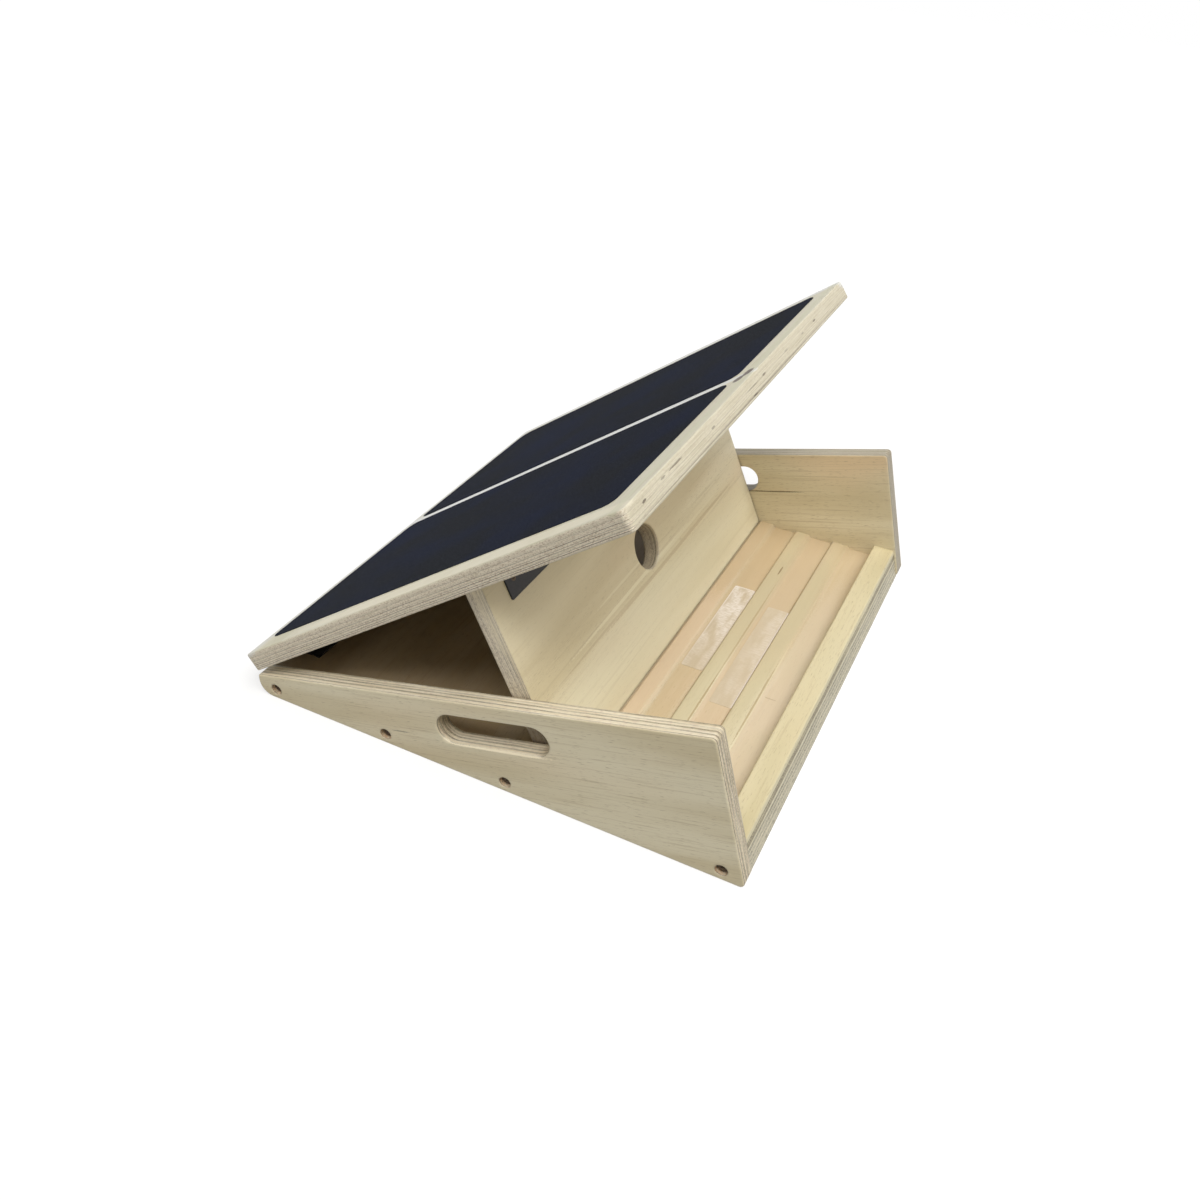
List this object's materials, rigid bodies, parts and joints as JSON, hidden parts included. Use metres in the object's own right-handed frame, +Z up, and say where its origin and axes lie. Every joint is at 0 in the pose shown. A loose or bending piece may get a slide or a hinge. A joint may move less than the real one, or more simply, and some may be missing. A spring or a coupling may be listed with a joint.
{
  "type": "adjustable slant board",
  "caption": "Plywood slant board: a hinged platform with black grip sheets stands on a hinged prop in a notched, wedge-sided base with hand slots.",
  "frame": {"origin": "middle of the underside, halfway between the outer faces of the two sides and halfway along their bottom edges", "axes": "+X to the right along the hinge axes, +Y to the high rear end, +Z up from the surface that it stands on"},
  "size_m": [0.43, 0.4062, 0.2558],
  "materials": {
    "birch_plywood": "sanded, clear matt lacquer",
    "pine_strip": "planed, clear matt lacquer",
    "grip_sheet": "fine gritty matt",
    "black_hinge": "black satin",
    "bright_pin": "drawn",
    "black_screw": "black phosphate",
    "clear_film": "clear, satin"
  },
  "bodies": {
    "base": {"base_board": "birch_plywood", "rear_rail": "pine_strip", "left_side": "birch_plywood", "right_side": "birch_plywood", "left_side_screws": "black_screw", "right_side_screws": "black_screw", "notch_label_1": "clear_film", "notch_label_2": "clear_film", "left_front_hinge_base_leaf": "black_hinge", "right_front_hinge_base_leaf": "black_hinge", "left_front_hinge_pin": "bright_pin", "right_front_hinge_pin": "bright_pin", "front_hinge_base_screws": "black_screw"},
    "platform": {"platform_board": "birch_plywood", "left_grip_sheet": "grip_sheet", "right_grip_sheet": "grip_sheet", "left_front_hinge_platform_leaf": "black_hinge", "right_front_hinge_platform_leaf": "black_hinge", "front_hinge_platform_screws": "black_screw", "left_prop_hinge_platform_leaf": "black_hinge", "right_prop_hinge_platform_leaf": "black_hinge", "left_prop_hinge_pin": "bright_pin", "right_prop_hinge_pin": "bright_pin", "prop_hinge_platform_screws": "black_screw"},
    "prop": {"prop_board": "birch_plywood", "left_prop_hinge_prop_leaf": "black_hinge", "right_prop_hinge_prop_leaf": "black_hinge", "prop_hinge_prop_screws": "black_screw"}
  },
  "joints": [
    {"name": "platform_hinge", "type": "hinge", "parent": "base", "child": "platform", "pos_m": [0, -0.1967, 0.0194], "axis": [1, 0, 0], "range_deg": [0, 68]},
    {"name": "prop_hinge", "type": "hinge", "parent": "platform", "child": "prop", "pos_m": [0, -0.00723, 0.16011], "axis": [1, 0, 0], "range_deg": [0, 100]}
  ]
}
